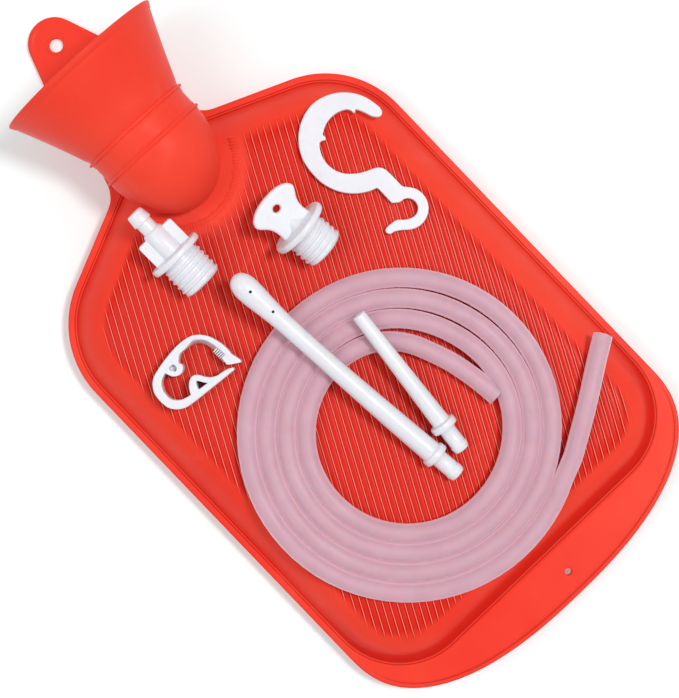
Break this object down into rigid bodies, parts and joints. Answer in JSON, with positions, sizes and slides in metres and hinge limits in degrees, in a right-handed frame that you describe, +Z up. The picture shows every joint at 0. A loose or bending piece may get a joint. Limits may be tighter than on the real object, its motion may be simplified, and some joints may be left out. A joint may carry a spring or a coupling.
{
  "type": "hot-water bottle with funnel neck and irrigation kit",
  "caption": "Red rubber water bottle with a moulded funnel neck, lying flat, with a loose kit on it: stopper, hose adapter, S-hook, pinch clamp, coiled tube and nozzles.",
  "frame": {"origin": "on the ground, under the middle of the bottle's box", "axes": "+Z up, away from the ground that the bottle lies on; +Y along the bottle's length, towards the funnel; +X across the bottle"},
  "size_m": [0.2, 0.3786, 0.0905],
  "materials": {
    "red_rubber": "satin moulded rubber",
    "white_plastic": "semi-gloss moulded plastic",
    "pink_tube": "translucent soft vinyl"
  },
  "bodies": {
    "bottle": {"front_panel": "red_rubber", "back_panel": "red_rubber", "neck_funnel": "red_rubber", "neck_insert": "white_plastic"},
    "stopper": {"stopper": "white_plastic"},
    "adapter": {"tube_adapter": "white_plastic"},
    "hook": {"s_hook": "white_plastic"},
    "clamp": {"clamp_base": "white_plastic"},
    "clamp_lever": {"clamp_arm": "white_plastic"},
    "tube": {"tube_coil": "pink_tube", "tube_tail": "pink_tube"},
    "long_nozzle": {"long_nozzle": "white_plastic"},
    "short_nozzle": {"short_nozzle": "white_plastic"}
  },
  "joints": [
    {"name": "stopper_lift", "type": "slide", "parent": "bottle", "child": "stopper", "axis": [0, 0, 1], "range_m": [0, 0.08]},
    {"name": "adapter_lift", "type": "slide", "parent": "bottle", "child": "adapter", "axis": [0, 0, 1], "range_m": [0, 0.08]},
    {"name": "hook_lift", "type": "slide", "parent": "bottle", "child": "hook", "axis": [0, 0, 1], "range_m": [0, 0.08]},
    {"name": "clamp_lift", "type": "slide", "parent": "bottle", "child": "clamp", "axis": [0, 0, 1], "range_m": [0, 0.08]},
    {"name": "clamp_open", "type": "hinge", "parent": "clamp", "child": "clamp_lever", "pos_m": [-0.0759, 0.0144, 0.0338], "axis": [0, 0, 1], "range_deg": [0, 30], "stiffness_Nm_per_rad": 0.03},
    {"name": "tube_lift", "type": "slide", "parent": "bottle", "child": "tube", "axis": [0, 0, 1], "range_m": [0, 0.08]},
    {"name": "long_nozzle_lift", "type": "slide", "parent": "tube", "child": "long_nozzle", "axis": [0, 0, 1], "range_m": [0, 0.08]},
    {"name": "short_nozzle_lift", "type": "slide", "parent": "tube", "child": "short_nozzle", "axis": [0, 0, 1], "range_m": [0, 0.08]}
  ]
}
